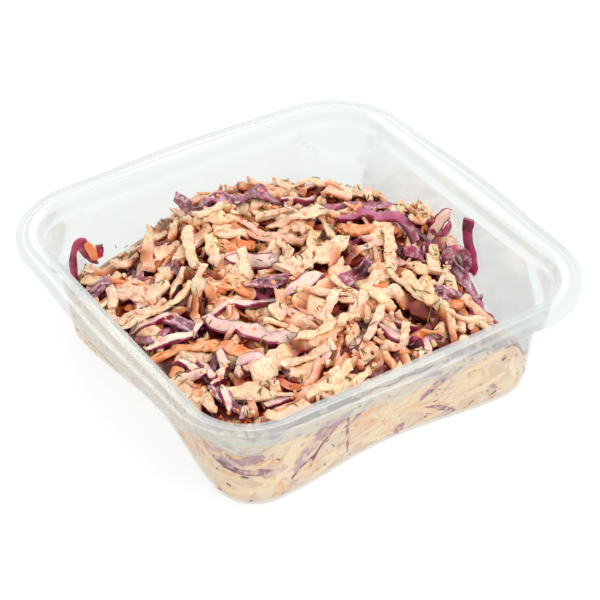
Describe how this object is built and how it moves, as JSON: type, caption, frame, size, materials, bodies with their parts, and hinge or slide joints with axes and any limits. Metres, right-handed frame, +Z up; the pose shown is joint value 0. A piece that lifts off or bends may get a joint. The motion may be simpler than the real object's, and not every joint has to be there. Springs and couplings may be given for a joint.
{
  "type": "coleslaw in a clear square deli tub",
  "caption": "Shredded white and red cabbage with carrot in pale dressing, heaped in a clear square tub with rounded corners and a turned-down rim.",
  "frame": {"origin": "middle of the tub's flat underside", "axes": "+Z up through the tub's opening, X and Y square to its sides"},
  "size_m": [0.1302, 0.1302, 0.038],
  "materials": {
    "clear_plastic": "thin clear thermoformed plastic, glossy, with a faint grey-green tinge",
    "salad": "moist shredded cabbage and carrot coated in thin creamy dressing"
  },
  "bodies": {
    "root": {"tub": "clear_plastic", "coleslaw": "salad"}
  },
  "joints": []
}
